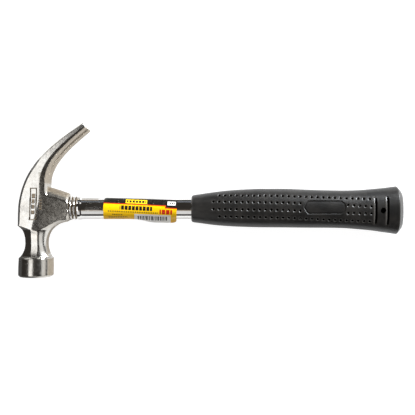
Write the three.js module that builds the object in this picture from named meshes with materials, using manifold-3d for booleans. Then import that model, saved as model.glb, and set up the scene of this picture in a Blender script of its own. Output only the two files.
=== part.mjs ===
// A claw hammer with a forged head, a chromed steel tube for a handle and a rubber grip.
//
// The hammer lies on its side. X runs along the handle from the head to the butt, Y runs up the head from
// the striking face to the claw, and Z runs through the head's two cheeks. While it is built, the origin is
// the point where the handle's axis meets the poll's axis. At the end the group is moved so that the origin
// is under the middle of the whole hammer, on the surface it lies on. Everything is in millimetres.

import * as THREE from 'three';
import { mergeVertices } from 'three/addons/utils/BufferGeometryUtils.js';
import Module from 'manifold-3d';

const wasm = await Module();
wasm.setup();

// ---- Driving dimensions ----

const FIT_GAP = 0.3; // between two pieces that touch on the real hammer
const FILM_GAP = 0.1; // between the tube and the film stuck to it

// Head
const CROWN_X = -12.6; // the back of the head, over the eye
const CHEEK_BACK_X = 10.5; // where the claw's inner curve starts
const CHEEK_Z = 13; // half the thickness over the cheeks
const SHOULDER_Y = -13; // where the cheeks end and the neck starts to narrow
const POLL_RADIUS = 14.9;
const POLL_TOP_Y = -42;
const FACE_Y = -59;
const FACE_BEVEL = 1.4;
const WAIST_Y = -30; // the neck is narrowest here
const WAIST_RADIUS = 17; // it widens to the poll on this radius
const FACETS_END_Y = -18.6; // where its upper and lower facets run into the cheeks
const NECK_X = 1.2; // its middle, a little off the poll's axis
const NECK_HALF_WIDTH = 8.7;
const NECK_TOP_HALF_WIDTH = 2.6; // of its flat upper and lower facets
const NECK_SIDE_HALF_HEIGHT = 4.4; // of the facet towards the handle
const NECK_Z = 10.4;
const NECK_LOW_Y = -33; // its upper facet is lowest here
const NECK_DIP_RADIUS = 40;
const NECK_LEFT_SLOPE = 0.6; // fall of the slanted facet away from the handle
// The neck's sides sweep out on these arcs, into the crown and into the socket.
const LEFT_ARC = { y: -27.5, radius: 18 };
const RIGHT_ARC = { y: WAIST_Y, radius: 19.6 };
const CLAW_TIP_HALF_WIDTH = 14.9;
const SLOT_ROOT_Y = 30;
const SLOT_TIP_Y = 72;
const SLOT_ROOT_HALF_WIDTH = 0.8;
const SLOT_TIP_HALF_WIDTH = 4;
const CLAW_WAIST = 0.6; // how much each side is hollowed just above the cheeks
const RIM_X = 29.2; // the socket's end, where the tube comes out
const RIM_RADIUS = 11.9;

// Tube
const TUBE_RADIUS = 9.5;
const TUBE_WALL = 1.5;
const TENON_RADIUS = 8.5; // the tube is drawn down to this where it passes through the head
const TENON_X = -11.2;
const BEAD_RADIUS = 10.1;
const COLLAR_END_X = 40.4;
const TUBE_END_X = 287;
const PLUG_LENGTH = 18;
const PLUG_TAPER_LENGTH = 4;
const RINGS = [31.1, 33.9]; // the middles of the two narrow rings rolled into it
const RING_HALF_WIDTH = 1;
const GROOVE_DEPTH = 0.1; // between the rings, below the tube's own surface
const COLLAR_X = 36.2; // the third ring is a wide collar from here to its chamfer

// Grip
const GRIP_X = 133.6;
const FLARE_X = 308.8; // the widest ring of the grip's end
const BUTT_X = 314.2;
const FLARE_HALF_THICKNESS = 14.9;
const HANG_HOLE_X = 295.1;
const HANG_HOLE_RADIUS = 2.1;
const GRIP_END_Y = -2.4; // the middle of the wide end, where the hole and the cross slots are
const CROSS_SLOTS = [{ x: 289.2, length: 22 }, { x: 299.1, length: 24 }];
const CROSS_SLOT_WIDTH = 2.4;
const CROSS_SLOT_DEPTH = 1.4;
const BADGE_X = 246.5;
const BADGE_Y = 0.5;
const BADGE_LENGTH = 35;
const BADGE_WIDTH = 11;
const BADGE_GROOVE = 0.8;
const BADGE_DEPTH = 0.6;

// Label
const LABEL_X = 59.3;
const LABEL_LENGTH = 62.1;
const FILM_THICKNESS = 0.25;
const LABEL_WRAP = THREE.MathUtils.degToRad(119); // how far round the tube the film is stuck down
const LABEL_LIFT = THREE.MathUtils.degToRad(-62); // where its loose end leaves the tube, from the top
const LABEL_FLAP = 7.5;

const ROUND_SEGMENTS = 48;

// ---- Materials ----

const POLISHED_STEEL = new THREE.MeshStandardMaterial({ color: 0xb9b6ae, roughness: 0.22, metalness: 1 });
const CHROME = new THREE.MeshStandardMaterial({ color: 0xdedfe2, roughness: 0.08, metalness: 1 });
const PLAIN_STEEL = new THREE.MeshStandardMaterial({ color: 0x8e8b85, roughness: 0.45, metalness: 1 });
const RUBBER = new THREE.MeshStandardMaterial({ color: 0x242322, roughness: 0.75, metalness: 0 });
const PRINTED_FILM = new THREE.MeshStandardMaterial({ color: 0xf0bd05, roughness: 0.35, metalness: 0 });

// ---- Solids and lofts ----

// A closed geometry as a manifold-3d solid.
function solid(geometry) {
  const bare = geometry.clone();
  bare.deleteAttribute('normal');
  bare.deleteAttribute('uv');
  const merged = mergeVertices(bare, 1e-4);
  const vertProperties = new Float32Array(merged.attributes.position.array);
  const triVerts = new Uint32Array(merged.index.array);
  return new wasm.Manifold(new wasm.Mesh({ numProp: 3, vertProperties, triVerts }));
}

// A manifold-3d solid as a geometry with flat faces.
function geometryOf(made) {
  const { vertProperties, triVerts } = made.getMesh();
  const shared = new THREE.BufferGeometry();
  shared.setAttribute('position', new THREE.BufferAttribute(new Float32Array(vertProperties), 3));
  shared.setIndex(new THREE.BufferAttribute(new Uint32Array(triVerts), 1));
  const faceted = shared.toNonIndexed();
  faceted.computeVertexNormals();
  return faceted;
}

// A closed skin over rings of points, each ring with as many points as the next and going round the same way.
function loft(rings) {
  const count = rings[0].length;
  const points = rings.flat();
  const index = [];
  for (let ring = 0; ring < rings.length - 1; ring++) {
    for (let i = 0; i < count; i++) {
      const a = ring * count + i;
      const b = ring * count + ((i + 1) % count);
      index.push(a, b, b + count, a, b + count, a + count);
    }
  }
  const last = points.length - count;
  for (const [first, turned] of [[0, true], [last, false]]) {
    const middle = new THREE.Vector3();
    for (let i = 0; i < count; i++) middle.addScaledVector(points[first + i], 1 / count);
    points.push(middle);
    for (let i = 0; i < count; i++) {
      const a = first + i;
      const b = first + ((i + 1) % count);
      index.push(points.length - 1, turned ? b : a, turned ? a : b);
    }
  }
  const geometry = new THREE.BufferGeometry().setFromPoints(points);
  geometry.setIndex(index);
  return geometry;
}

// A solid turned round the X axis from pairs of distance along it and radius.
function turnedAboutX(profile, segments = ROUND_SEGMENTS) {
  const outline = profile.map(([x, radius]) => new THREE.Vector2(radius, x));
  return new THREE.LatheGeometry(outline, segments).rotateZ(-Math.PI / 2);
}

// An outline in X and Y, made into a block from one height to another.
function block(shape, low, high, curveSegments = 12) {
  const options = { depth: high - low, bevelEnabled: false, curveSegments };
  const geometry = new THREE.ExtrudeGeometry(shape, options);
  return geometry.translate(0, 0, low);
}

// How far an arc of this radius has turned away from its tangent at this distance along it.
function flare(distance, radius) {
  const reach = Math.min(Math.abs(distance), radius);
  return radius - Math.sqrt(radius * radius - reach * reach);
}

// ---- Head ----

const CLAW_OUTER = new THREE.CubicBezierCurve(
  new THREE.Vector2(CROWN_X, -4),
  new THREE.Vector2(CROWN_X, 26.4),
  new THREE.Vector2(6.8, 48.2),
  new THREE.Vector2(42.6, 71.5),
);
const CLAW_INNER = new THREE.CubicBezierCurve(
  new THREE.Vector2(CHEEK_BACK_X, 22),
  new THREE.Vector2(CHEEK_BACK_X, 40.4),
  new THREE.Vector2(32.1, 56.6),
  new THREE.Vector2(44.6, 67.4),
);

// An eight-sided ring between an outer and an inner point, square to the plane of the claw's curve.
function clawRing(outer, inner, halfWidth, outerBevel, innerBevel) {
  const across = inner.clone().sub(outer).normalize();
  const at = (point, along, z) => {
    return new THREE.Vector3(point.x + across.x * along, point.y + across.y * along, z);
  };
  const half = [
    at(outer, 0, halfWidth - outerBevel),
    at(outer, outerBevel, halfWidth),
    at(inner, -innerBevel, halfWidth),
    at(inner, 0, halfWidth - innerBevel),
  ];
  const other = half.map((p) => new THREE.Vector3(p.x, p.y, -p.z)).reverse();
  return [...half, ...other];
}

// The cheeks, and the claw that grows out of them, before the nail slot is cut.
function cheeksAndClaw() {
  const steps = 16;
  const base = new THREE.Vector2(CROWN_X, SHOULDER_Y);
  const rings = [clawRing(base, new THREE.Vector2(CHEEK_BACK_X, SHOULDER_Y), CHEEK_Z, 1.6, 1)];
  for (let i = 0; i <= steps; i++) {
    const t = i / steps;
    const widening = THREE.MathUtils.smoothstep(t, 0.15, 0.6);
    const waist = CLAW_WAIST * Math.sin(Math.PI * Math.min(1, t / 0.3));
    const halfWidth = THREE.MathUtils.lerp(CHEEK_Z, CLAW_TIP_HALF_WIDTH, widening) - waist;
    const outerBevel = THREE.MathUtils.lerp(1.6, 1, t);
    rings.push(clawRing(CLAW_OUTER.getPoint(t), CLAW_INNER.getPoint(t), halfWidth, outerBevel, 0.8));
  }
  return solid(loft(rings));
}

// The wedge-shaped slot that pulls nails, wider towards the tips.
function nailSlot() {
  const outline = new THREE.Shape();
  outline.moveTo(SLOT_ROOT_Y, -SLOT_ROOT_HALF_WIDTH);
  outline.lineTo(SLOT_TIP_Y, -SLOT_TIP_HALF_WIDTH);
  outline.lineTo(SLOT_TIP_Y + 5, -SLOT_TIP_HALF_WIDTH);
  outline.lineTo(SLOT_TIP_Y + 5, SLOT_TIP_HALF_WIDTH);
  outline.lineTo(SLOT_TIP_Y, SLOT_TIP_HALF_WIDTH);
  outline.lineTo(SLOT_ROOT_Y, SLOT_ROOT_HALF_WIDTH);
  outline.absarc(SLOT_ROOT_Y, 0, SLOT_ROOT_HALF_WIDTH, Math.PI / 2, 1.5 * Math.PI);
  // The outline's own X and Y are the head's Y and Z, and it is pushed through along the head's X.
  const turn = new THREE.Matrix4().makeBasis(
    new THREE.Vector3(0, 1, 0),
    new THREE.Vector3(0, 0, 1),
    new THREE.Vector3(1, 0, 0),
  );
  return solid(block(outline, -30, 60).applyMatrix4(turn));
}

// How far out one side of the neck reaches at a height.
function neckReach(y, arc) {
  const lower = flare(Math.min(0, y - WAIST_Y), WAIST_RADIUS);
  return NECK_HALF_WIDTH + 0.85 * lower + flare(Math.max(0, y - arc.y), arc.radius);
}

// The waisted eight-sided neck, cut off flush with the cheeks and the crown. Above the height where its upper
// and lower facets end, all its facets spread out into the cheeks.
function neck() {
  const lower = [POLL_TOP_Y, -40, -37.5, -34.5, WAIST_Y, -27, -24, -21];
  const heights = [...lower, FACETS_END_Y, -16.5, -14.7, SHOULDER_Y];
  const rings = heights.map((y) => {
    const high = NECK_Z + (y - NECK_LOW_Y) ** 2 / (2 * NECK_DIP_RADIUS);
    const rise = Math.max(0, y - FACETS_END_Y);
    const left = neckReach(y, LEFT_ARC);
    const right = neckReach(y, RIGHT_ARC);
    const leftTop = Math.min(NECK_TOP_HALF_WIDTH + 2.1 * rise, left - 0.5);
    const section = [
      [-left, high - NECK_LEFT_SLOPE * (left - leftTop)],
      [-leftTop, high],
      [NECK_TOP_HALF_WIDTH + 1.4 * rise, high],
      [right, NECK_SIDE_HALF_HEIGHT + 0.2 * rise],
    ];
    const middle = NECK_X - 0.15 * flare(Math.min(0, y - WAIST_Y), WAIST_RADIUS);
    const upper = section.map(([x, z]) => new THREE.Vector3(middle + x, y, z));
    const under = section.map(([x, z]) => new THREE.Vector3(middle + x, y, -z)).reverse();
    return [...upper, ...under];
  });
  // The last ring is drawn in, so that the neck ends inside the socket and the cheeks.
  const last = rings[rings.length - 1];
  rings.push(last.map((p) => new THREE.Vector3(THREE.MathUtils.clamp(p.x, CROWN_X, 10), -5, 0.5 * p.z)));
  const length = 60;
  const limit = new THREE.BoxGeometry(length, length, 2 * CHEEK_Z).translate(CROWN_X + length / 2, -25, 0);
  return solid(loft(rings)).intersect(solid(limit));
}

// The round poll below the neck, with the flat striking face inside its bevel.
function poll() {
  const profile = [
    [FACE_Y, 0],
    [FACE_Y, POLL_RADIUS - FACE_BEVEL],
    [FACE_Y + 0.4, POLL_RADIUS - 0.5],
    [FACE_Y + FACE_BEVEL, POLL_RADIUS],
    [POLL_TOP_Y - 0.4, POLL_RADIUS - 0.3],
    [POLL_TOP_Y + 0.4, POLL_RADIUS - 1.3],
    [POLL_TOP_Y + 0.4, 0],
  ];
  const outline = profile.map(([y, radius]) => new THREE.Vector2(radius, y));
  return solid(new THREE.LatheGeometry(outline, ROUND_SEGMENTS));
}

// The socket, an oval that narrows to the round rim where the tube comes out.
function socket() {
  const sections = [
    [0, 17.6, CHEEK_Z],
    [6, 17.8, CHEEK_Z],
    [14, 17, 12.7],
    [21, 14.6, 12.3],
    [RIM_X - 0.7, 12.4, RIM_RADIUS],
    [RIM_X, 11.7, RIM_RADIUS - 0.7],
  ];
  const rings = sections.map(([x, halfHeight, halfThickness]) => {
    const ring = [];
    for (let i = 0; i < 40; i++) {
      const angle = (2 * Math.PI * i) / 40;
      ring.push(new THREE.Vector3(x, halfHeight * Math.cos(angle), halfThickness * Math.sin(angle)));
    }
    return ring;
  });
  return solid(loft(rings));
}

function headGeometry() {
  const eye = [
    [CROWN_X - 5, 0],
    [CROWN_X - 5, TENON_RADIUS + FIT_GAP],
    [RIM_X + 5, TENON_RADIUS + FIT_GAP],
    [RIM_X + 5, 0],
  ];
  const forging = cheeksAndClaw().add(socket()).add(neck()).add(poll());
  return geometryOf(forging.subtract(solid(turnedAboutX(eye))).subtract(nailSlot()));
}

// ---- Tube and plug ----

// The tube from its drawn-down end in the head, over three rolled rings, to its end in the grip.
function tubeGeometry() {
  const groove = TUBE_RADIUS - GROOVE_DEPTH;
  const outside = [
    [TENON_X, TENON_RADIUS],
    [RIM_X + FIT_GAP, TENON_RADIUS],
    [RIM_X + FIT_GAP, groove],
  ];
  for (const x of RINGS) {
    outside.push([x - RING_HALF_WIDTH, BEAD_RADIUS - 0.3]);
    outside.push([x, BEAD_RADIUS]);
    outside.push([x + RING_HALF_WIDTH, BEAD_RADIUS - 0.3]);
    outside.push([x + 1.4 * RING_HALF_WIDTH, groove]);
  }
  outside.push([COLLAR_X - 0.4, BEAD_RADIUS - 0.2]);
  outside.push([COLLAR_X, BEAD_RADIUS]);
  outside.push([COLLAR_END_X - 0.9, BEAD_RADIUS]);
  outside.push([COLLAR_END_X, TUBE_RADIUS]);
  outside.push([TUBE_END_X, TUBE_RADIUS]);
  const inside = [
    [TUBE_END_X, TUBE_RADIUS - TUBE_WALL],
    [COLLAR_END_X, TUBE_RADIUS - TUBE_WALL],
    [RIM_X + 2, TENON_RADIUS - TUBE_WALL],
    [TENON_X, TENON_RADIUS - TUBE_WALL],
  ];
  return turnedAboutX([...outside, ...inside, outside[0]]);
}

// The steel plug driven into the tube's end, which spreads it in the eye and holds the head on.
function plugGeometry() {
  const radius = TENON_RADIUS - TUBE_WALL - FIT_GAP;
  const profile = [
    [TENON_X, 0],
    [TENON_X, radius - 0.5],
    [TENON_X + 0.5, radius],
    [TENON_X + PLUG_LENGTH - PLUG_TAPER_LENGTH, radius - 0.2],
    [TENON_X + PLUG_LENGTH, radius - 1.6],
    [TENON_X + PLUG_LENGTH, 0],
  ];
  return turnedAboutX(profile, 32);
}

// ---- Grip ----

// Along the grip: how far it reaches up, how far down, and half its thickness.
const GRIP_SECTIONS = [
  [GRIP_X, 9.9, 11.6, 10.9],
  [GRIP_X + 1.2, 10.6, 12.3, 11.4],
  [142.5, 12, 13.4, 12],
  [153, 13.5, 14.8, 12.6],
  [165, 14.9, 15.8, 13.1],
  [178, 15.8, 16.4, 13.4],
  [194, 16.4, 16.8, 13.5],
  [212, 16.4, 16.9, 13.4],
  [231, 15.7, 17.1, 13.1],
  [251, 15.1, 17.2, 12.9],
  [264, 14.9, 17.5, 12.8],
  [276, 15.2, 18.4, 12.9],
  [288, 16.1, 19.5, 13.2],
  [299, 17.2, 21.1, 13.9],
  [FLARE_X, 18.4, 22.6, FLARE_HALF_THICKNESS],
  [FLARE_X + 3.6, 14.8, 19, 10.4],
  [FLARE_X + 4.9, 12.8, 17, 8],
  [BUTT_X, 9.8, 14, 5],
];

// A rounded ring round the grip, set in from its outside by an inset.
function gripRing([x, up, down, halfThickness], inset) {
  const ring = [];
  const squareness = 0.88;
  for (let i = 0; i < ROUND_SEGMENTS; i++) {
    const angle = (2 * Math.PI * i) / ROUND_SEGMENTS;
    const c = Math.cos(angle);
    const s = Math.sin(angle);
    const halfHeight = (up + down) / 2 - inset;
    const y = (up - down) / 2 + halfHeight * Math.sign(c) * Math.abs(c) ** squareness;
    const z = (halfThickness - inset) * Math.sign(s) * Math.abs(s) ** squareness;
    ring.push(new THREE.Vector3(x, y, z));
  }
  return ring;
}

function gripBody(inset = 0) {
  return solid(loft(GRIP_SECTIONS.map((section) => gripRing(section, inset))));
}

// A straight-sided outline with round ends, long along X or along Y.
function roundEnded(x, y, length, width, upright) {
  const outline = new THREE.Shape();
  const reach = (length - width) / 2;
  if (upright) {
    outline.absarc(x, y + reach, width / 2, 0, Math.PI);
    outline.absarc(x, y - reach, width / 2, Math.PI, 2 * Math.PI);
  } else {
    outline.absarc(x + reach, y, width / 2, -Math.PI / 2, Math.PI / 2);
    outline.absarc(x - reach, y, width / 2, Math.PI / 2, 1.5 * Math.PI);
  }
  return outline;
}

// What is cut this deep into both flat sides of the grip, from an outline seen from above.
function recess(outline, depth) {
  return solid(block(outline, -20, 20, 6)).subtract(gripBody(depth));
}

function gripGeometry() {
  const bore = [
    [GRIP_X - 5, 0],
    [GRIP_X - 5, TUBE_RADIUS + FIT_GAP],
    [TUBE_END_X + FIT_GAP, TUBE_RADIUS + FIT_GAP],
    [TUBE_END_X + FIT_GAP, 0],
  ];
  const badge = roundEnded(BADGE_X, BADGE_Y, BADGE_LENGTH, BADGE_WIDTH, false);
  const innerLength = BADGE_LENGTH - 2 * BADGE_GROOVE;
  const inner = roundEnded(BADGE_X, BADGE_Y, innerLength, BADGE_WIDTH - 2 * BADGE_GROOVE, false);
  badge.holes.push(new THREE.Path(inner.getPoints(6)));
  const hole = new THREE.Shape().absarc(HANG_HOLE_X, GRIP_END_Y, HANG_HOLE_RADIUS, 0, 2 * Math.PI);
  let sleeve = gripBody()
    .subtract(solid(turnedAboutX(bore)))
    .subtract(recess(badge, BADGE_DEPTH))
    .subtract(solid(block(hole, -20, 20, 8)));
  for (const { x, length } of CROSS_SLOTS) {
    const outline = roundEnded(x, GRIP_END_Y, length, CROSS_SLOT_WIDTH, true);
    sleeve = sleeve.subtract(recess(outline, CROSS_SLOT_DEPTH));
  }
  return geometryOf(sleeve);
}

// ---- Label ----

// The film is wrapped round the tube, and its loose end stands off as a short flap.
function labelGeometry() {
  const inner = TUBE_RADIUS + FILM_GAP;
  const outer = inner + FILM_THICKNESS;
  const steps = 36;
  // Angles go from straight up towards the claw's side, so the film starts at the flap and runs over the top.
  const around = (radius, angle, flap) => new THREE.Vector2(
    radius * Math.sin(angle) - flap * Math.cos(angle),
    radius * Math.cos(angle) + flap * Math.sin(angle),
  );
  const outline = [around(outer, LABEL_LIFT, LABEL_FLAP)];
  for (let i = 0; i <= steps; i++) outline.push(around(outer, LABEL_LIFT + (LABEL_WRAP * i) / steps, 0));
  for (let i = steps; i >= 0; i--) outline.push(around(inner, LABEL_LIFT + (LABEL_WRAP * i) / steps, 0));
  outline.push(around(inner, LABEL_LIFT, LABEL_FLAP));
  // The outline's own X and Y are the hammer's Y and Z, and the film is drawn out along the tube.
  const turn = new THREE.Matrix4().makeBasis(
    new THREE.Vector3(0, 1, 0),
    new THREE.Vector3(0, 0, 1),
    new THREE.Vector3(1, 0, 0),
  );
  return block(new THREE.Shape(outline), LABEL_X, LABEL_X + LABEL_LENGTH).applyMatrix4(turn);
}

// ---- Hammer ----

function piece(name, geometry, material) {
  const mesh = new THREE.Mesh(geometry, material.clone());
  mesh.name = name;
  return mesh;
}

const hammer = new THREE.Group();
hammer.add(piece('head', headGeometry(), POLISHED_STEEL));
hammer.add(piece('shaft_tube', tubeGeometry(), CHROME));
hammer.add(piece('expansion_plug', plugGeometry(), PLAIN_STEEL));
hammer.add(piece('grip', gripGeometry(), RUBBER));
hammer.add(piece('label', labelGeometry(), PRINTED_FILM));

// The origin goes under the middle of the hammer's box.
const box = new THREE.Box3().setFromObject(hammer);
const middle = box.getCenter(new THREE.Vector3());
hammer.position.set(-middle.x, -middle.y, -box.min.z);

export default hammer;
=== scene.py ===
# Looks of a claw hammer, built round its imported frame.
# All shapes are worked out in millimetres from the point where the handle's axis meets the poll's axis:
# X along the handle to the butt, Y up the head to the claw, Z through the cheeks.
# metres() puts them in the frame.
import math

import bmesh
import bpy
import numpy as np
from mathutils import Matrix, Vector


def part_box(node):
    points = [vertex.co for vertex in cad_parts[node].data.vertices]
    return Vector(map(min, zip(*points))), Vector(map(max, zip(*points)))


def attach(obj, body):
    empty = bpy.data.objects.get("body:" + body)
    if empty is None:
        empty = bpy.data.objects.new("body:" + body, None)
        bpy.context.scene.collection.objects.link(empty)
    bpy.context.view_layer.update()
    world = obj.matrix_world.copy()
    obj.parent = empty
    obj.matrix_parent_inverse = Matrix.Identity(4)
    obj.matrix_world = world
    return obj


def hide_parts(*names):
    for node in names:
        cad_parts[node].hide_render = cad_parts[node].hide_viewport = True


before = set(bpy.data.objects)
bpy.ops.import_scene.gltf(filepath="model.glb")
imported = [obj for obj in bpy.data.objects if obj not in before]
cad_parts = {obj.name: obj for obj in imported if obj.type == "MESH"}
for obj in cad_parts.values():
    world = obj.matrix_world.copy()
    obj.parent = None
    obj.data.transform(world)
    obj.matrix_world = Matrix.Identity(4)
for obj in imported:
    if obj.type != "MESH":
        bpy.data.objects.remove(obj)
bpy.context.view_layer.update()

POLL_RADIUS = 14.9
FACE_Y = -59.0
POLL_TOP_Y = -42.0
CROWN_X = -12.6
CHEEK_Z = 13.0
RIM_X = 29.2
TUBE_RADIUS = 9.5
TENON_RADIUS = 8.5
EYE_RADIUS = 8.8
TENON_X = -11.2
TUBE_WALL = 1.5
BEAD_RADIUS = 10.1
GROOVE_RADIUS = 8.7
RING_CENTRES = (30.95, 33.9)
RING_HALF = 1.15
COLLAR_END_X = 40.4
TUBE_END_X = 287.0
LABEL_X = 59.3
LABEL_LENGTH = 62.1
HEAD_GRID = 0.5
CLAW_SLOT_Y = 30
CLAW_SLOT_RADIUS = 0.8
CLAW_TIP = (43.1, 71.2)

head_low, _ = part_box("head")
ORIGIN = np.array(head_low) * 1000 + (POLL_RADIUS, -FACE_Y, POLL_RADIUS)


def metres(points):
    return (np.asarray(points, dtype=float) + ORIGIN) / 1000


# ---- Meshes ----

def make_object(name, points, faces, smooth=True):
    mesh = bpy.data.meshes.new(name)
    mesh.from_pydata(metres(points).tolist(), [], [list(f) for f in faces])
    mesh.update()
    if smooth:
        mesh.polygons.foreach_set("use_smooth", [True] * len(mesh.polygons))
    made = bpy.data.objects.new(name, mesh)
    bpy.context.collection.objects.link(made)
    return made


def add_attribute(made, name, values, kind="FLOAT"):
    attribute = made.data.attributes.new(name, kind, "POINT")
    field = "value" if kind == "FLOAT" else "vector"
    attribute.data.foreach_set(field, np.asarray(values, dtype=np.float32).ravel())


def mark_sharp(made, degrees):
    edit = bmesh.new()
    edit.from_mesh(made.data)
    limit = math.radians(degrees)
    for edge in edit.edges:
        edge.smooth = len(edge.link_faces) == 2 and edge.calc_face_angle(0) < limit
    for face in edit.faces:
        face.smooth = True
    edit.to_mesh(made.data)
    edit.free()


def ring_faces(rings, count, closed=False):
    """Quads between rings of the same number of points, one after another."""
    faces = []
    for ring in range(rings if closed else rings - 1):
        here, there = ring * count, ((ring + 1) % rings) * count
        for i in range(count):
            j = (i + 1) % count
            faces.append((here + i, here + j, there + j, there + i))
    return faces


def lathe(profile, segments):
    """A profile of (x, radius), with x increasing on its outside, turned round X: its points and faces."""
    angle = np.arange(segments) * 2 * math.pi / segments
    points = [(x, r * math.cos(a), r * math.sin(a)) for x, r in profile for a in angle]
    return points, ring_faces(len(profile), segments)


def surface_nets(value, low, step):
    """Quads over the zero surface of a grid of values that are negative inside."""
    inside = value < 0
    size = np.array(value.shape) - 1
    corners = [(a, b, c) for a in (0, 1) for b in (0, 1) for c in (0, 1)]

    def part(array, offset):
        a, b, c = offset
        return array[a:a + size[0], b:b + size[1], c:c + size[2]]

    count = sum(part(inside, o).astype(np.int8) for o in corners)
    active = (count > 0) & (count < 8)
    cells = np.argwhere(active)
    number = np.full(active.shape, -1)
    number[active] = np.arange(len(cells))
    values = np.stack([part(value, o)[active] for o in corners], axis=1)
    offsets = np.array(corners, dtype=float)
    total = np.zeros((len(cells), 3))
    hits = np.zeros((len(cells), 1))
    for p in range(8):
        for q in range(p + 1, 8):
            if np.abs(offsets[p] - offsets[q]).sum() != 1:
                continue
            crossing = (values[:, p] < 0) != (values[:, q] < 0)
            gap = np.where(crossing, values[:, p] - values[:, q], 1)
            t = (values[:, p] / gap)[:, None]
            total += np.where(crossing[:, None], offsets[p] + t * (offsets[q] - offsets[p]), 0)
            hits += crossing[:, None]
    points = low + (cells + total / hits) * step
    quads = []
    for axis, (a, b) in enumerate([(1, 2), (2, 0), (0, 1)]):
        near = np.moveaxis(inside, (axis, a, b), (0, 1, 2))
        cell = np.moveaxis(number, (axis, a, b), (0, 1, 2))
        first, second = near[:-1, 1:-1, 1:-1], near[1:, 1:-1, 1:-1]
        for start, end, turn in ((first, second, False), (second, first, True)):
            i, j, k = np.nonzero(start & ~end)
            j, k = j + 1, k + 1
            around = [cell[i, j - 1, k - 1], cell[i, j, k - 1], cell[i, j, k], cell[i, j - 1, k]]
            quad = np.stack(around, axis=1)
            quads.append(quad[:, ::-1] if turn else quad)
    return points, np.concatenate(quads)


def gradient(function, points, h=0.04):
    slopes = []
    for axis in range(3):
        step = np.zeros(3)
        step[axis] = h
        slopes.append((function(*(points + step).T) - function(*(points - step).T)) / (2 * h))
    return np.stack(slopes, axis=1)


def settle(function, points, rounds, reach):
    """Moves points onto the function's zero surface, no further than reach in each round."""
    for _ in range(rounds):
        slope = gradient(function, points)
        steep = np.maximum((slope ** 2).sum(axis=1, keepdims=True), 0.05)
        move = function(*points.T)[:, None] * slope / steep
        length = np.linalg.norm(move, axis=1, keepdims=True)
        points = points - move * np.minimum(1, reach / np.maximum(length, 1e-9))
    return points


# ---- Distances ----

def smooth_min(a, b, k):
    blend = np.clip(0.5 + 0.5 * (b - a) / k, 0, 1)
    return b + (a - b) * blend - k * blend * (1 - blend)


def smooth_max(a, b, k):
    return -smooth_min(-a, -b, k)


def chamfer_max(a, b, size, k=0.25):
    """Both a and b, with the edge between them cut back by size."""
    return smooth_max(smooth_max(a, b, k), (a + b + size) * math.sqrt(0.5), k)


def smoothstep(low, high, value):
    t = np.clip((value - low) / (high - low), 0, 1)
    return t * t * (3 - 2 * t)


def flare(distance, radius):
    reach = np.minimum(np.abs(distance), radius - 0.01)
    return radius - np.sqrt(radius * radius - reach * reach)


def bezier(controls, count):
    t = np.linspace(0, 1, count)[:, None]
    a, b, c, d = (np.array(p, dtype=float) for p in controls)
    return a * (1 - t) ** 3 + 3 * b * t * (1 - t) ** 2 + 3 * c * t * t * (1 - t) + d * t ** 3


def extended(line, start, end):
    """A line of points, made longer at both ends along its own directions."""
    first = line[0] + (line[0] - line[1]) / np.linalg.norm(line[0] - line[1]) * start
    last = line[-1] + (line[-1] - line[-2]) / np.linalg.norm(line[-1] - line[-2]) * end
    return np.vstack([first, line, last])


def side_of(x, y, line):
    """Signed distance to a line of points in X and Y, positive on its left."""
    best = np.full(np.broadcast(x, y).shape, 1e9)
    sign = np.ones_like(best)
    for (ax, ay), (bx, by) in zip(line[:-1], line[1:]):
        dx, dy = bx - ax, by - ay
        t = np.clip(((x - ax) * dx + (y - ay) * dy) / (dx * dx + dy * dy), 0, 1)
        distance = np.hypot(x - ax - t * dx, y - ay - t * dy)
        cross = dx * (y - ay) - dy * (x - ax)
        closer = distance < best
        best = np.where(closer, distance, best)
        sign = np.where(closer, np.where(cross > 0, 1, -1), sign)
    return best * sign


CLAW_OUTER = extended(bezier([(CROWN_X, -4), (CROWN_X, 26.4), (6.8, 48.2), (42.6, 71.5)], 26), 60, 12)
CLAW_INNER = extended(bezier([(10.5, 22), (10.5, 40.4), (32.1, 56.6), (44.6, 67.4)], 26), 60, 12)


def claw_slot_half(y):
    """Half the width of the slot between the claw's prongs, from its round end upwards."""
    return CLAW_SLOT_RADIUS + 3.2 * (y - CLAW_SLOT_Y) / 42


def claw_half_width(y):
    return CHEEK_Z - 0.6 * np.sin(math.pi * np.clip((y + 4) / 32, 0, 1)) + 1.9 * smoothstep(9, 46, y)


def neck_distance(x, y, z):
    az = np.abs(z)
    lower = flare(np.minimum(0, y + 30), 17)
    across = x - (1.2 - 0.15 * lower)
    high = 10.4 + (y + 33) ** 2 / 80
    rise = np.maximum(0, y + 18.6)
    left = 8.7 + 0.85 * lower + flare(np.maximum(0, y + 27.5), 18)
    right = 8.7 + 0.85 * lower + flare(np.maximum(0, y + 30), 19.6)
    left_top = np.minimum(2.6 + 2.1 * rise, left - 0.5)
    left_side = high - 0.6 * (left - left_top)
    right_side, right_top = 4.4 + 0.2 * rise, 2.6 + 1.4 * rise
    flat = smooth_max(az - high, smooth_max(across - right, -across - left, 0.3), 0.3)
    run, climb = left - left_top, high - left_side
    slant = (-across - left_top) * climb + (az - left_side) * run - run * climb
    slant = slant / np.hypot(run, np.maximum(climb, 0.1))
    power = 1.35
    u = np.maximum(across - right_top, 0) / np.maximum(right - right_top, 1)
    v = np.maximum(az - right_side, 0) / np.maximum(high - right_side, 1)
    quarter = (u ** power + v ** power) ** (1 / power) - 1
    quarter = quarter * 0.8 * np.minimum(right - right_top, high - right_side)
    shape = smooth_max(flat, smooth_max(slant, quarter, 0.3), 0.3)
    return np.maximum(shape, np.maximum(-43.5 - y, y + 4))


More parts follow.
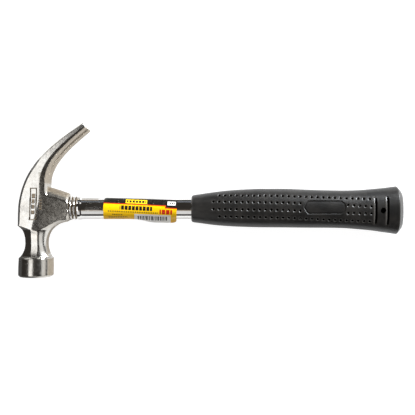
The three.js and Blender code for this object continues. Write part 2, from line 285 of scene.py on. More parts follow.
def socket_distance(x, y, z):
    top = np.interp(x, [0, 6, 14, 20.6, 28.3, 30], [17.6, 17.8, 17.3, 15.3, 12.6, 12.0])
    bottom = np.interp(x, [0, 6, 15.6, 19.4, 27.4, 30], [15.5, 15.6, 14.6, 13.2, 11.8, 11.6])
    thick = np.interp(x, [0, 4.7, 12, 21, 28.5, 30], [13.3, 13.15, 12.6, 11.9, 11.35, 11.25])
    power = np.interp(x, [4, 29], [2.7, 2.0])
    half, middle = (top + bottom) / 2, (top - bottom) / 2
    round_ = ((np.abs(y - middle) / half) ** power + (np.abs(z) / thick) ** power) ** (1 / power)
    side = (round_ - 1) * np.minimum(half, thick)
    end = x - (RIM_X + 0.045 * y)
    rim = smooth_max(smooth_max(side, end, 0.3), 0.82 * side + 0.57 * end + 0.75, 0.3)
    return np.maximum(rim, -3 - x)


def poll_distance(x, y, z):
    lean = 0.25 - 0.28 * (POLL_TOP_Y - y) / (POLL_TOP_Y - FACE_Y)
    radius = 14.6 + 0.3 * np.clip((POLL_TOP_Y - y) / 8, 0, 1)
    side = np.hypot(x - lean, z) - radius
    return np.maximum(chamfer_max(side, FACE_Y - y, 1.5), chamfer_max(side, y - POLL_TOP_Y, 1.0))


def head_distance(x, y, z):
    az = np.abs(z)
    outer = side_of(x, y, CLAW_OUTER)
    inner = -side_of(x, y, CLAW_INNER)
    half_width = claw_half_width(y)
    tip = (x - CLAW_TIP[0]) * 0.909 + (y - CLAW_TIP[1]) * 0.416
    strap = smooth_max(smooth_max(outer, inner, 0.5), tip, 0.8)
    strap = np.maximum(strap, -14 - y)
    body = smooth_min(np.maximum(strap, az - 16), socket_distance(x, y, z), 3.2)
    fillet = 0.7 + 3.5 * smoothstep(1, 9, x) * smoothstep(-26, -16, y)
    body = smooth_min(body, neck_distance(x, y, z), fillet)
    body = smooth_max(body, CROWN_X - x, 0.3)
    slab = az - half_width
    fall = np.interp(y, [12, 26], [0, 1])
    heights = [-18.7, -12.9, -6.5, 5.2, 21, 42, 60, 70]
    reach = np.interp(y, heights, [9.6, 8.6, 7.2, 4.4, 4.4, 2.9, 2.0, 1.4])
    past = np.clip(inner + reach, 0, 26)
    socket_fall = past * (0.13 - 0.0018 * past)
    claw_fall = 0.22 * np.maximum(inner + reach, 0)
    body = smooth_max(body, slab + socket_fall * (1 - fall) + claw_fall * fall, 0.35)
    edge = 1.9 * (1 - 0.55 * smoothstep(34, 44, y)) * smoothstep(-18, -13, y) + 0.2
    body = smooth_max(body, slab, 0.3)
    body = smooth_max(body, (outer + slab + edge) * math.sqrt(0.5), 0.25)
    body = smooth_max(body, (inner + slab + 1.2 - 60 * smoothstep(25, 14, y)) * math.sqrt(0.5), 0.25)
    body = smooth_min(body, poll_distance(x, y, z), 0.5)
    round_end = np.hypot(y - CLAW_SLOT_Y, z) - CLAW_SLOT_RADIUS
    slot = np.where(y > CLAW_SLOT_Y, az - claw_slot_half(y), round_end)
    body = chamfer_max(body, -slot, 0.7)
    eye = EYE_RADIUS - np.hypot(y, z)
    return chamfer_max(body, eye, 0.7)


# ---- Node materials ----

class Look:
    """A node material, with short ways to add nodes."""

    def __init__(self, name):
        self.material = bpy.data.materials.new(name)
        self.material.use_nodes = True
        self.tree = self.material.node_tree
        self.shader = self.tree.nodes["Principled BSDF"]
        self.place = self.node("ShaderNodeTexCoord").outputs["Object"]

    def node(self, kind, inputs=(), **settings):
        made = self.tree.nodes.new(kind)
        for key, value in settings.items():
            setattr(made, key, value)
        for key, value in dict(inputs).items():
            self.feed(made.inputs[key], value)
        return made

    def feed(self, socket, value):
        if isinstance(value, bpy.types.NodeSocket):
            self.tree.links.new(value, socket)
        else:
            socket.default_value = value

    def math(self, operation, a, b=0.0, clamp=False):
        return self.node("ShaderNodeMath", {0: a, 1: b}, operation=operation, use_clamp=clamp).outputs[0]

    def ramp(self, value, low, high, start=0.0, end=1.0):
        """value from low to high becomes start to end, smoothly, and stays there outside."""
        inputs = {"Value": value, "From Min": low, "From Max": high, "To Min": start, "To Max": end}
        return self.node("ShaderNodeMapRange", inputs, interpolation_type="SMOOTHSTEP").outputs[0]

    def mix(self, factor, a, b):
        made = self.node("ShaderNodeMix", data_type="RGBA")
        self.feed(made.inputs[0], factor)
        self.feed(made.inputs[6], a)
        self.feed(made.inputs[7], b)
        return made.outputs[2]

    def stretched(self, x, y, z):
        return self.node("ShaderNodeMapping", {"Vector": self.place, "Scale": (x, y, z)}).outputs[0]

    def noise(self, scale, detail=3.0, roughness=0.55, place=None):
        inputs = {"Vector": place or self.place, "Scale": scale, "Detail": detail, "Roughness": roughness}
        return self.node("ShaderNodeTexNoise", inputs).outputs[0]

    def cells(self, scale, place=None):
        inputs = {"Vector": place or self.place, "Scale": scale}
        return self.node("ShaderNodeTexVoronoi", inputs).outputs["Distance"]

    def value(self, name):
        return self.node("ShaderNodeAttribute", attribute_name=name).outputs["Fac"]

    def bump(self, height, distance, strength=1.0, normal=None):
        inputs = {"Height": height, "Distance": distance, "Strength": strength}
        if normal is not None:
            inputs["Normal"] = normal
        return self.node("ShaderNodeBump", inputs).outputs[0]

    def finish(self, **inputs):
        for key, value in inputs.items():
            self.feed(self.shader.inputs[key.replace("_", " ")], value)
        return self.material


STEEL_LIGHT = (0.74, 0.73, 0.70, 1)
STEEL_SHADED = (0.66, 0.64, 0.60, 1)
STEEL_PITTED = (0.42, 0.385, 0.33, 1)
STEEL_BLOTCH = (0.38, 0.34, 0.29, 1)
PIT_GLINT = (0.70, 0.67, 0.61, 1)
TAN_DARK = (0.27, 0.23, 0.18, 1)
TAN_LIGHT = (0.48, 0.415, 0.33, 1)
STAMP_BROWN = (0.38, 0.28, 0.17, 1)


def steel_look():
    look = Look("forged_steel")
    matte, pitted, stamp = look.value("matte"), look.value("pitted"), look.value("stamp")
    cloud = look.noise(90, 3)
    grind = look.noise(260, 4, 0.6, look.stretched(5.0, 0.35, 1.0))
    speck = look.ramp(look.cells(480), 0.15, 0.27, 1, 0)
    clump = look.ramp(look.noise(170, 3), 0.58, 0.70)
    pits = look.math("MULTIPLY", look.math("MULTIPLY", speck, clump), pitted)
    blotch = look.math("MULTIPLY", look.ramp(look.noise(520, 4, 0.65), 0.42, 0.66), pitted)
    grain = look.noise(1500, 3, 0.7)
    polished = look.mix(look.ramp(cloud, 0.35, 0.65), STEEL_LIGHT, STEEL_SHADED)
    tan = look.mix(look.ramp(grain, 0.3, 0.7), TAN_DARK, TAN_LIGHT)
    polished = look.mix(look.math("MULTIPLY", pitted, 0.6), polished, STEEL_PITTED)
    colour = look.mix(matte, polished, tan)
    colour = look.mix(look.math("MULTIPLY", blotch, 0.15), colour, STEEL_BLOTCH)
    colour = look.mix(pits, colour, PIT_GLINT)
    colour = look.mix(stamp, colour, STAMP_BROWN)
    smooth = look.ramp(look.noise(420, 4), 0.3, 0.7, 0.13, 0.22)
    smooth = look.math("ADD", smooth, look.math("MULTIPLY", blotch, 0.05))
    smooth = look.math("ADD", smooth, look.math("MULTIPLY", pitted, 0.05))
    rough = look.math("MAXIMUM", smooth, look.math("MULTIPLY", matte, 0.5))
    rough = look.math("MAXIMUM", rough, look.math("MULTIPLY", pits, 0.7))
    rough = look.math("MAXIMUM", rough, look.math("MULTIPLY", stamp, 0.5))
    fine = look.bump(grind, 0.000012)
    uneven = look.bump(look.math("MULTIPLY", look.noise(330, 3), pitted), 0.000015, normal=fine)
    sand = look.bump(look.math("MULTIPLY", grain, look.math("ADD", matte, 0.06)), 0.00012, normal=uneven)
    dents = look.bump(look.math("SUBTRACT", 1, pits), 0.00005, normal=sand)
    normal = look.bump(look.math("SUBTRACT", 1, stamp), 0.0002, normal=dents)
    return look.finish(Base_Color=colour, Metallic=1.0, Roughness=rough, Normal=normal)


def chrome_look():
    look = Look("chrome_plate")
    wipe = look.noise(180, 3, 0.5, look.stretched(0.25, 2.5, 2.5))
    haze = look.ramp(look.noise(60, 4), 0.35, 0.75, 0.035, 0.11)
    groove_shade = look.value("groove_shade")
    colour = look.mix(look.ramp(wipe, 0.3, 0.75), (0.86, 0.85, 0.84, 1), (0.74, 0.73, 0.71, 1))
    # Painted shade: the grooves between the rings are darkened brown, and the whole ring end a little.
    colour = look.mix(groove_shade, colour, (0.26, 0.20, 0.13, 1))
    haze = look.math("ADD", haze, look.math("MULTIPLY", groove_shade, 0.35))
    return look.finish(Base_Color=colour, Metallic=1.0, Roughness=haze, Normal=look.bump(wipe, 0.000014))


def plug_look():
    look = Look("turned_steel")
    rings = look.noise(500, 3, 0.5, look.stretched(0.2, 1, 1))
    colour = look.mix(rings, (0.42, 0.38, 0.33, 1), (0.58, 0.55, 0.50, 1))
    rough = look.ramp(rings, 0.2, 0.8, 0.3, 0.5)
    return look.finish(Base_Color=colour, Metallic=1.0, Roughness=rough, Normal=look.bump(rings, 0.00005))


def rubber_look():
    look = Look("moulded_rubber")
    grain = look.noise(2600, 3, 0.7)
    cloud = look.noise(70, 4, 0.6)
    wear_and_highlight = look.value("wear_and_highlight")
    colour = look.mix(look.ramp(cloud, 0.35, 0.7), (0.004, 0.0036, 0.0032, 1), (0.014, 0.0125, 0.011, 1))
    # Lighter where rubbed, and painted highlight on the slots' left walls and the butt's ring.
    colour = look.mix(look.math("MULTIPLY", wear_and_highlight, 0.8), colour, (0.050, 0.046, 0.042, 1))
    rough = look.ramp(grain, 0.25, 0.75, 0.30, 0.46)
    rough = look.math("SUBTRACT", rough, look.math("MULTIPLY", wear_and_highlight, 0.10))
    scratch = look.noise(600, 2, 0.5, look.stretched(0.15, 2.0, 2.0))
    hole_shade = look.value("hole_shade")
    # Painted shade: the insides of the dimples, slots and hanging hole are made near black, with little
    # shine.
    colour = look.mix(hole_shade, colour, (0.001, 0.001, 0.001, 1))
    gloss = look.math("MULTIPLY", look.math("SUBTRACT", 1, hole_shade), 0.55)
    normal = look.bump(scratch, 0.00003, normal=look.bump(grain, 0.00006))
    return look.finish(Base_Color=colour, Roughness=rough, Specular_IOR_Level=gloss, Normal=normal)


def label_look():
    """The label's print and a painted shade lower round the tube, in millimetres along the film and round it,
    with plain bars for words.
    """
    look = Look("printed_film_and_painted_shade")
    where = look.node("ShaderNodeAttribute", attribute_name="print_mm").outputs["Vector"]
    parts = look.node("ShaderNodeSeparateXYZ", {"Vector": where})
    along, down = parts.outputs[0], parts.outputs[1]

    def step(value, edge, soft=0.12):
        return look.ramp(value, edge - soft, edge + soft)

    def box(a0, a1, b0, b1):
        """The print between these millimetres along the film and down it."""
        made = step(along, a0)
        before = look.math("SUBTRACT", 1, step(along, a1))
        below = step(down, b0)
        above = look.math("SUBTRACT", 1, step(down, b1))
        for other in (before, below, above):
            made = look.math("MULTIPLY", made, other)
        return made

    def bars(period, share, shift=0.0):
        """Bars across the film, this far apart."""
        wave = look.math("FRACT", look.math("DIVIDE", look.math("ADD", along, shift), period))
        return look.math("LESS_THAN", wave, share)

    def either(*masks):
        made = masks[0]
        for other in masks[1:]:
            made = look.math("MAXIMUM", made, other)
        return made

    def both(a, b):
        return look.math("MULTIPLY", a, b)

    # Painted shade: the yellow darkens down round the tube, away from the top.
    lower_shade = look.ramp(down, 2, 14)
    colour = look.mix(lower_shade, (0.98, 0.59, 0.0, 1), (0.80, 0.42, 0.0, 1))
    band = either(look.math("SUBTRACT", 1, step(down, -4.3)), box(52.4, 70, -20, -2.5))
    line = either(box(-1, 52.4, -4.5, -3.7), box(52.4, 70, -2.7, -1.9), box(52.0, 52.8, -4.5, -2.0))
    colour = look.mix(band, colour, (0.010, 0.009, 0.008, 1))
    colour = look.mix(line, colour, (0.62, 0.05, 0.004, 1))
    colour = look.mix(box(18.5, 36.7, -8.8, -4.9), colour, (0.90, 0.62, 0.01, 1))
    colour = look.mix(both(box(19.4, 35.8, -7.9, -5.7), bars(2.7, 0.72)), colour, (0.02, 0.016, 0.01, 1))
    heading = both(box(13.8, 41.3, -2.8, 0.8), bars(3.06, 0.80, 0.3))
    colour = look.mix(heading, colour, (0.012, 0.010, 0.008, 1))
    small = both(box(3.4, 46.2, 1.9, 3.0), bars(1.9, 0.7))
    lines = either(box(7.6, 16.5, 4.9, 5.9), box(3.8, 20.3, 7.2, 8.2), box(3.8, 17.0, 9.2, 10.0))
    tiny = both(lines, bars(1.5, 0.7))
    colour = look.mix(look.math("MULTIPLY", either(small, tiny), 0.8), colour, (0.03, 0.022, 0.01, 1))
    mark = both(box(47.6, 58.2, -0.9, 3.3), bars(3.6, 0.8, 0.9))
    colour = look.mix(mark, colour, (0.55, 0.012, 0.003, 1))
    patch = box(26.2, 57.1, 4.1, 40)
    colour = look.mix(patch, colour, (0.86, 0.84, 0.80, 1))
    strips = both(box(29, 54, 6.0, 13.5), either(bars(1.55, 0.42), bars(2.45, 0.3, 0.6)))
    colour = look.mix(strips, colour, (0.03, 0.03, 0.03, 1))
    shine = box(54, 61.0, -8.2, -4.8)
    colour = look.mix(shine, colour, (0.80, 0.80, 0.78, 1))
    colour = look.mix(both(box(55.0, 60.2, -7.2, -5.8), bars(1.7, 0.6)), colour, (0.05, 0.05, 0.05, 1))
    scuff = look.ramp(look.noise(700, 5, 0.65), 0.60, 0.72, 0, 0.3)
    colour = look.mix(scuff, colour, (0.70, 0.62, 0.45, 1))
    wrinkle = look.noise(120, 3, 0.5, look.stretched(0.6, 1.6, 1.6))
    rough = look.ramp(look.noise(300, 3), 0.3, 0.7, 0.26, 0.42)
    normal = look.bump(wrinkle, 0.00010)
    return look.finish(Base_Color=colour, Roughness=rough, Specular_IOR_Level=0.2, Normal=normal)


# ---- Head ----

def make_head():
    low = np.array([-16.2, -60.7, -15.8])
    high = np.array([47.3, 73.2, 15.8])
    counts = np.round((high - low) / HEAD_GRID).astype(int) + 1
    x, y, z = (low[i] + HEAD_GRID * np.arange(counts[i]) for i in range(3))
    value = head_distance(x[:, None, None], y[None, :, None], z[None, None, :])
    points, faces = surface_nets(value, low, HEAD_GRID)
    points = settle(head_distance, points, 3, 0.3)
    made = make_object("head_forging", points, faces)
    slope = gradient(head_distance, points)
    normal = slope / np.linalg.norm(slope, axis=1, keepdims=True)
    made.data.normals_split_custom_set_from_vertices(normal.tolist())
    x, y, z = points.T
    inner = -side_of(x, y, CLAW_INNER)
    claw_face = smoothstep(-0.5, -0.25, inner) * smoothstep(19, 22, y)
    slot_half = claw_slot_half(np.maximum(y, CLAW_SLOT_Y))
    slot = smoothstep(slot_half + 0.6, slot_half + 0.1, np.abs(z)) * smoothstep(28.6, 29.6, y) * (inner > -14)
    facing = smoothstep(0.5, 0.7, normal[:, 0] - normal[:, 1] * 0.6)
    strip = smoothstep(4.9, 4.1, np.abs(z)) * facing * smoothstep(-41, -38, y) * (y < -9)
    edge = smoothstep(8, 11, x) * smoothstep(0.35, 0.7, normal[:, 1]) * (y < 30) * (y > 0)
    eye = np.hypot(y, z) < EYE_RADIUS + 0.3
    barrel = smoothstep(0.72, 0.86, normal[:, 0]) * (y < -41)
    matte = np.clip(claw_face + slot + strip + edge + eye + barrel, 0, 1)
    add_attribute(made, "matte", matte)
    cone = smoothstep(4.4, 7, x) * smoothstep(-24, -12, y) * (y < 30)
    pitted = np.clip(cone + 0.55 * smoothstep(-30, -40, y), 0, 1)
    add_attribute(made, "pitted", pitted)
    add_attribute(made, "stamp", stamped(x, y) * smoothstep(0.9, 0.97, np.abs(normal[:, 2])))
    return made


def stamped(x, y):
    """The stamped marks on a cheek, from 0 to 1: an upright frame round plain bars, and some dashes."""
    u, v = x - 0.75 - 0.03 * (y - 3.2), y - 3.2
    outside = np.maximum(np.abs(u) - 2.5, np.abs(v) - 13.2)
    frame_line = smoothstep(0.42, 0.15, np.abs(outside))
    bar = smoothstep(0.3, 0.0, np.abs(u) - 1.0) * smoothstep(0.3, 0.0, np.abs(v % 4.6 - 2.3) - 1.5)
    bar = bar * (np.abs(v) < 9.3)
    w = y - 2.7
    dash = smoothstep(0.2, 0.0, np.abs(x - 6.6) - 1.1) * smoothstep(0.25, 0.0, np.abs(w % 2.4 - 1.2) - 0.5)
    dash = dash * (np.abs(w) < 4.8)
    return np.clip(np.maximum(np.maximum(frame_line, 0.8 * bar), 0.8 * dash), 0, 1)


# ---- Tube and plug ----

def make_tube():
    bead = BEAD_RADIUS - GROOVE_RADIUS
    outside = [(TENON_X, TENON_RADIUS - 0.4), (TENON_X + 0.4, TENON_RADIUS)]
    outside += [(RIM_X + 0.2, TENON_RADIUS), (RIM_X + 0.3, GROOVE_RADIUS)]
    for middle in RING_CENTRES:
        for t in np.linspace(-1, 1, 15):
            outside.append((middle + RING_HALF * t, GROOVE_RADIUS + bead * max(0, 1 - abs(t) ** 2.4) ** 0.5))
    for t in np.linspace(0, 90, 7):
        a = math.radians(t)
        outside.append((36.9 - 1.2 * math.cos(a), GROOVE_RADIUS + bead * math.sin(a)))
    outside += [(39.0, BEAD_RADIUS), (39.25, BEAD_RADIUS - 0.06)]
    outside += [(40.1, TUBE_RADIUS + 0.05), (COLLAR_END_X, TUBE_RADIUS)]
    outside += [(x, TUBE_RADIUS) for x in np.linspace(44, TUBE_END_X - 0.4, 60)]
    outside += [(TUBE_END_X, TUBE_RADIUS - 0.4)]
    inside = [(TUBE_END_X, TUBE_RADIUS - TUBE_WALL), (COLLAR_END_X, TUBE_RADIUS - TUBE_WALL)]
    inside += [(RIM_X + 2, TENON_RADIUS - TUBE_WALL), (TENON_X, TENON_RADIUS - TUBE_WALL)]
    profile = outside + inside
    segments = 128
    points, _ = lathe(profile, segments)
    made = make_object("handle_tube", points, ring_faces(len(profile), segments, closed=True))
    x, y, z = np.array(points).T
    # Painted shade in the grooves between the rings, and a touch over the whole ring end.
    in_groove = smoothstep(9.95, 9.5, np.hypot(y, z)) * (x < 36.5)
    add_attribute(made, "groove_shade", in_groove + 0.12 * smoothstep(36.5, 35, x))
    mark_sharp(made, 35)
    return made


def make_plug():
    radius = TENON_RADIUS - TUBE_WALL - 0.3
    outline = [(1.2, 0.4), (1.2, 0.8), (0.3, 1.6), (0, 2.0), (0, radius - 0.6), (0.2, radius - 0.2)]
    outline += [(0.6, radius), (14, radius - 0.2), (18, radius - 1.6), (18, 0.4)]
    profile = [(TENON_X + dx, r) for dx, r in outline]
    segments = 64
    points, faces = lathe(profile, segments)
    last = (len(profile) - 1) * segments
    faces.append(tuple(reversed(range(segments))))
    faces.append(tuple(range(last, last + segments)))
    made = make_object("wedge_plug", points, faces)
    mark_sharp(made, 30)
    return made


# ---- Grip ----

GRIP_X = 133.6
FLARE_X = 308.8
GRIP_STATIONS = [GRIP_X, 134.8, 142.5, 153, 165, 178, 194, 212, 231, 251, 264, 276, 288, 299, FLARE_X]
GRIP_UP = [9.9, 10.7, 12, 13.5, 14.9, 15.8, 16.4, 16.4, 15.7, 15.1, 14.9, 15.2, 16.1, 17.2, 18.4]
GRIP_DOWN = [11.6, 12.3, 13.4, 14.8, 15.8, 16.4, 16.8, 16.9, 17.1, 17.2, 17.5, 18.4, 19.5, 21.1, 22.6]
GRIP_THICK = [10.9, 11.5, 12, 12.6, 13.1, 13.4, 13.5, 13.4, 13.1, 12.9, 12.8, 12.9, 13.2, 13.9, 14.9]
GRIP_POWER = 0.88
# Rings of the domed butt, as (past FLARE_X, inset), and of a dimple, as (height over the surface, radius).
FLARE_RINGS = (
    (0.35, 0.12), (0.7, 0.45), (1.2, 1.0), (2.4, 2.25), (3.6, 3.6),
    (4.3, 4.5), (4.9, 5.7), (5.25, 7.0), (5.4, 8.6),
)
BORE_RADIUS = 9.8
BORE_END_X = 287.3
DIMPLE_RINGS = (
    (-2.3, 0.35), (-2.2, 0.60), (-1.7, 0.78), (-0.8, 0.86),
    (-0.45, 0.92), (-0.32, 1.02), (-0.02, 1.60), (0.6, 1.8),
)
# The two slots across the grip, as x: length.
SLOT_LENGTHS = {289.2: 22, 299.1: 24}
SLOT_Y = -2.4
SLOT_WIDTH = 2.1
SLOT_DEPTH = 1.6
HOLE_X = 295.1
HOLE_Y = -2.35
HOLE_RADIUS = 2.1


def along_grip(x, values):
    """The values between the stations on a smooth curve that never swings past them."""
    s, v = np.array(GRIP_STATIONS), np.array(values, dtype=float)
    rise = np.diff(v) / np.diff(s)
    same = rise[:-1] * rise[1:] > 0
    middle = np.where(same, 2 * rise[:-1] * rise[1:] / np.where(same, rise[:-1] + rise[1:], 1), 0)
    slope = np.concatenate([[rise[0]], middle, [rise[-1]]])
    i = np.clip(np.searchsorted(s, x) - 1, 0, len(s) - 2)
    h = s[i + 1] - s[i]
    t = np.clip((x - s[i]) / h, 0, 1)
    return ((2 * t**3 - 3 * t**2 + 1) * v[i] + (t**3 - 2 * t**2 + t) * h * slope[i]
            + (3 * t**2 - 2 * t**3) * v[i + 1] + (t**3 - t**2) * h * slope[i + 1])


def grip_size(x):
    up, down, thick = (along_grip(x, v) for v in (GRIP_UP, GRIP_DOWN, GRIP_THICK))
    return (up + down) / 2, (up - down) / 2, thick


def grip_height(x, y):
    """How high the grip's surface is over this point of its middle plane."""
    half, middle, thick = grip_size(x)
    c = np.clip(np.abs(y - middle) / half, 0, 1) ** (1 / GRIP_POWER)
    return thick * np.sqrt(np.maximum(1 - c * c, 0)) ** GRIP_POWER


def swept_ring(path, section):
    """A closed loop of sections along a closed path, each section's points being (outward, up)."""
    count = len(path)
    points = []
    for i in range(count):
        tangent = path[(i + 1) % count] - path[i - 1]
        outward = np.array([tangent[1], -tangent[0], 0]) / np.hypot(tangent[0], tangent[1])
        points += [path[i] + outward * o + np.array([0, 0, u]) for o, u in section]
    return points, ring_faces(count, len(section), closed=True)


def flipped(points, faces):
    return [(x, y, -z) for x, y, z in points], [tuple(reversed(f)) for f in faces]


def closed_loft(rings):
    count = len(rings[0])
    points = [p for ring in rings for p in ring]
    faces = ring_faces(len(rings), count)
    faces.append(tuple(reversed(range(count))))
    faces.append(tuple(range(len(points) - count, len(points))))
    return points, faces


def dimple(x, y):
    """A blind round hole, square to the grip's surface."""
    h = 0.05
    z = float(grip_height(np.array(x), y))
    across = float(grip_height(np.array(x), y + h) - grip_height(np.array(x), y - h)) / (2 * h)
    axis = np.array([0, -across, 1]) / math.hypot(across, 1)
    side = np.array([0, axis[2], -axis[1]])
    rings = []
    along = np.array([1, 0, 0])
    angle = np.arange(16) * 2 * math.pi / 16
    for depth, radius in DIMPLE_RINGS:
        middle = np.array([x, y, z]) + axis * depth
        rings.append([tuple(middle + radius * (math.cos(a) * along + math.sin(a) * side)) for a in angle])
    return closed_loft(rings)


def cross_slot(x, length):
    """A slot across the grip with round ends, as deep all along."""
    width = SLOT_WIDTH
    rings = []
    for t in np.linspace(-1, 1, 31):
        v = math.sin(t * math.pi / 2) * length / 2
        end = length / 2 - width / 2
        over = max(0, abs(v) - end)
        half = math.sqrt(max((width / 2) ** 2 - over ** 2, 0.01))
        floor = float(grip_height(np.array(x), SLOT_Y + v)) - SLOT_DEPTH
        face = floor + SLOT_DEPTH
        near = [(-1.9, 20), (-1.9, face + 0.2), (-1.7, face), (-0.75, face - 0.36)]
        near += [(-0.5, face - 1.0), (-0.45, floor)]
        far = [(0.75, floor), (0.9, face - 0.3), (1.15, face + 0.1), (1.3, 20)]
        rings.append([(x + half * w, SLOT_Y + v, z) for w, z in near + far])
    return closed_loft(rings)


DIMPLE_PITCH = 4.88


OUTER_STATIONS = (157, 212, 284)
INNER_STATIONS = (152, 212, 266, 285)
UPPER_INNER = (5.3, 4.4, 2.35, 1.1)
LOWER_INNER = (-1.0, -1.9, -4.5, -4.9)


def dimple_places():
    """The rows of dimples. The two inner rows break off for the badge and go on past it."""
    places = []
    for first, count, stations, heights in (
        (157.3, 27, OUTER_STATIONS, (10.4, 9.95, 7.4)),
        (157.3, 27, OUTER_STATIONS, (-7.3, -8.5, -11.6)),
        (152.3, 16, INNER_STATIONS, UPPER_INNER),
        (152.3, 16, INNER_STATIONS, LOWER_INNER),
        (265.8, 5, INNER_STATIONS, UPPER_INNER),
        (265.8, 5, INNER_STATIONS, LOWER_INNER),
    ):
        for i in range(count):
            x = first + DIMPLE_PITCH * i
            places.append((x, float(np.interp(x, stations, heights))))
    return places


BADGE_X = 246.5
BADGE_Y = 0.5
BADGE_REACH = 12.1
BADGE_RADIUS = 5.1


def badge_groove():
    """The groove round the badge, which is round at one end and more pointed at the other."""
    path = []
    for a in np.linspace(-90, 90, 19):
        across, up = math.cos(math.radians(a)), math.sin(math.radians(a))
        path.append((BADGE_X + BADGE_REACH + BADGE_RADIUS * across, BADGE_Y + BADGE_RADIUS * up))
    upper = [(13.8, BADGE_RADIUS), (14.6, 4.8), (17.1, 0.9), (17.3, 0)]
    for back, up in upper + [(back, -up) for back, up in reversed(upper[:-1])]:
        path.append((BADGE_X - back, BADGE_Y + up))
    dense = []
    for (ax, ay), (bx, by) in zip(path, path[1:] + path[:1]):
        steps = max(1, int(math.hypot(bx - ax, by - ay) / 1.2))
        dense += [(ax + (bx - ax) * i / steps, ay + (by - ay) * i / steps) for i in range(steps)]
    loop = [np.array([x, y, float(grip_height(np.array(x), y))]) for x, y in dense]
    section = [(-0.6, 1.0), (-0.5, 0.0), (-0.4, -0.8), (0.3, -0.8), (0.45, -0.35), (1.15, -0.02), (1.3, 1.0)]
    return swept_ring(loop, section)


def join(parts):
    points, faces = [], []
    for more_points, more_faces in parts:
        start = len(points)
        points += list(more_points)
        faces += [tuple(start + i for i in face) for face in more_faces]
    return points, faces


def outwards(made):
    edit = bmesh.new()
    edit.from_mesh(made.data)
    bmesh.ops.recalc_face_normals(edit, faces=edit.faces)
    edit.to_mesh(made.data)
    edit.free()


def wear_and_painted_light(x, y, z):
    """Where the rubber is lighter, and where a painted shade darkens its holes, from 0 to 1. The dimple rims
    and the mouth are lighter; the slots' left walls and the butt's ring get painted highlights.
    """
    wear_and_highlight, hole_shade = np.zeros(len(x)), np.zeros(len(x))
    below = grip_height(x, y) - np.abs(z)
    for px, py in dimple_places():
        gap = np.hypot(x - px, y - py)
        wear_and_highlight = np.maximum(wear_and_highlight, smoothstep(0.7, 0.3, np.abs(gap - 1.3)) * 0.35)
        # Painted shade inside each dimple; the slots and the hanging hole follow.
        hole_shade = np.maximum(hole_shade, (gap < 1.2) * smoothstep(0.36, 0.5, below))
    across = np.abs(y - SLOT_Y)
    for px in SLOT_LENGTHS:
        # Painted highlight along each slot's left wall.
        wear_and_highlight = np.maximum(wear_and_highlight, smoothstep(0.9, 0.5, np.abs(x - px + 1.25)) * (across < 12) * (below < 0.6))
        inside = (np.abs(x - px) < 1.6) * (across < 12.5)
        hole_shade = np.maximum(hole_shade, inside * smoothstep(0.45, 0.6, below))
    in_hole = np.hypot(x - HOLE_X, y - HOLE_Y) < HOLE_RADIUS + 0.2
    hole_shade = np.maximum(hole_shade, in_hole * (below > -0.5) * (below < 30))
    # Painted highlight on the butt's ring; the mouth is lighter too.
    wear_and_highlight = np.maximum(wear_and_highlight, smoothstep(307.6, 309.4, x) * smoothstep(314.0, 312.6, x) * 0.6)
    wear_and_highlight = np.maximum(wear_and_highlight, smoothstep(135.2, 133.9, x) * 0.7)
    return wear_and_highlight, hole_shade


def make_grip():
    mouth = [GRIP_X, 133.9, 134.3, 134.8, 135.4]
    stations = np.concatenate([mouth, np.arange(136.2, 308, 0.9), [308.3, FLARE_X]])
    segments = 128
    angle = np.arange(segments) * 2 * math.pi / segments
    c = np.sign(np.cos(angle)) * np.abs(np.cos(angle)) ** GRIP_POWER
    s = np.sign(np.sin(angle)) * np.abs(np.sin(angle)) ** GRIP_POWER
    rings = []
    for x in stations:
        half, middle, thick = grip_size(np.array(x))
        inset = 0.9 * (1 - math.sqrt(1 - (1 - min(1, x - GRIP_X)) ** 2))
        rings.append([(x, middle + (half - inset) * a, (thick - inset) * b) for a, b in zip(c, s)])
    half, middle, thick = grip_size(np.array(FLARE_X))
    for dx, inset in FLARE_RINGS:
        tall, wide = half - inset, thick - 1.2 * inset
        rings.append([(FLARE_X + dx, middle + tall * a, wide * b) for a, b in zip(c, s)])
    body = make_object("grip_sleeve", *closed_loft(rings))
    outwards(body)
    sides = 96
    profile = [(130, 0.5), (130, BORE_RADIUS), (BORE_END_X, BORE_RADIUS), (BORE_END_X, 0.5)]
    bore, bore_faces = lathe(profile, sides)
    bore_faces += [tuple(range(sides)), tuple(range(3 * sides, 4 * sides))]
    parts = [(bore, bore_faces)]
    one_side = [dimple(x, y) for x, y in dimple_places()]
    one_side += [cross_slot(x, length) for x, length in SLOT_LENGTHS.items()]
    one_side.append(badge_groove())
    parts += one_side + [flipped(*part) for part in one_side]
    turn = np.arange(32) * 2 * math.pi / 32
    hole = [(HOLE_X + HOLE_RADIUS * math.cos(a), HOLE_Y + HOLE_RADIUS * math.sin(a)) for a in turn]
    parts.append(closed_loft([[(x, y, z) for x, y in hole] for z in (-20, 20)]))
    cutter = make_object("cutter", *join(parts))
    outwards(cutter)
    cut = body.modifiers.new("cut", "BOOLEAN")
    cut.object = cutter
    cut.operation = "DIFFERENCE"
    cut.solver = "MANIFOLD"
    graph = bpy.context.evaluated_depsgraph_get()
    mesh = bpy.data.meshes.new_from_object(body.evaluated_get(graph))
    body.modifiers.clear()
    body.data = mesh
    bpy.data.objects.remove(cutter)
    mark_sharp(body, 32)
    points = np.empty(len(mesh.vertices) * 3)
    mesh.vertices.foreach_get("co", points)
    x, y, z = (points.reshape(-1, 3) * 1000 - ORIGIN).T
    wear_and_highlight, hole_shade = wear_and_painted_light(x, y, z)
    add_attribute(body, "wear_and_highlight", wear_and_highlight * (1 - hole_shade))
    add_attribute(body, "hole_shade", hole_shade)
    weigh = body.modifiers.new("weigh", "WEIGHTED_NORMAL")
    weigh.keep_sharp = True
    return body


# ---- Label ----

